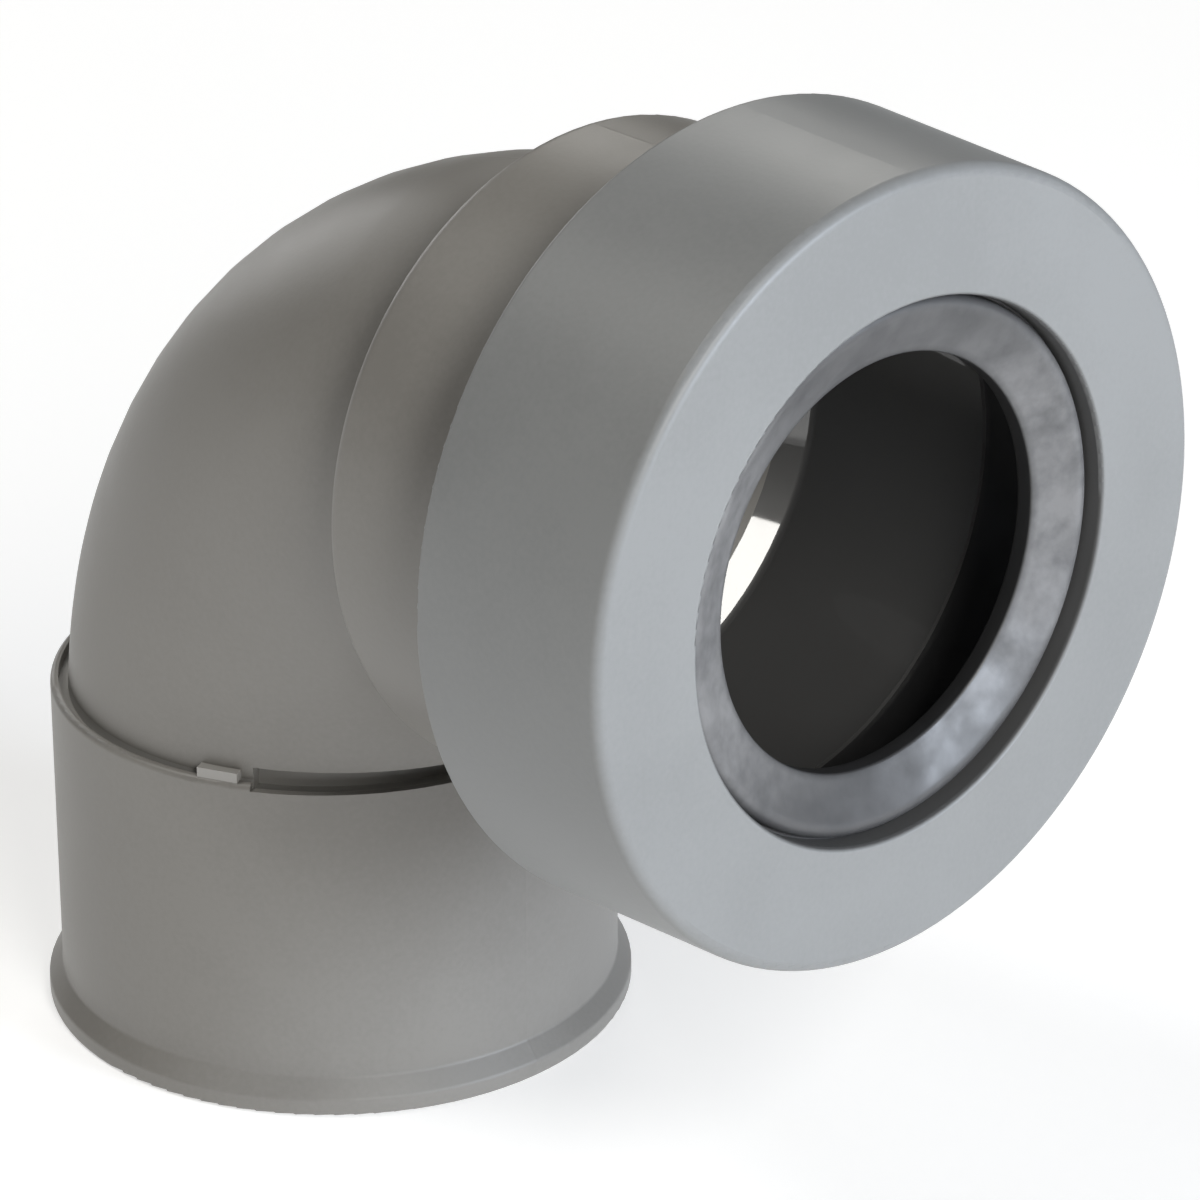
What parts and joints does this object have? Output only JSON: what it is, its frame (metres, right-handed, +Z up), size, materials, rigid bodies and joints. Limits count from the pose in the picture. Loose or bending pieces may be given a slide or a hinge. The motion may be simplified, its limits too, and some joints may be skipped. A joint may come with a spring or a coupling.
{
  "type": "pvc drain elbow",
  "caption": "Quarter-bend plastic drain elbow with a glue-in pipe socket at one end and a capped rubber-sealed tube inlet at the other.",
  "frame": {"origin": "centre of the pipe socket's mouth, on the socket's axis", "axes": "+Z up the socket's axis, away from its mouth; +X out along the branch, towards the sealed inlet"},
  "size_m": [0.0877, 0.0616, 0.0879],
  "materials": {
    "body_pvc": "satin moulded grey PVC, slightly warm",
    "cap_pvc": "satin moulded grey PVC, neutral",
    "seal_rubber": "smooth greased dark grey rubber"
  },
  "bodies": {
    "root": {"elbow_body": "body_pvc", "seal_cap": "cap_pvc", "lip_seal": "seal_rubber"}
  },
  "joints": []
}
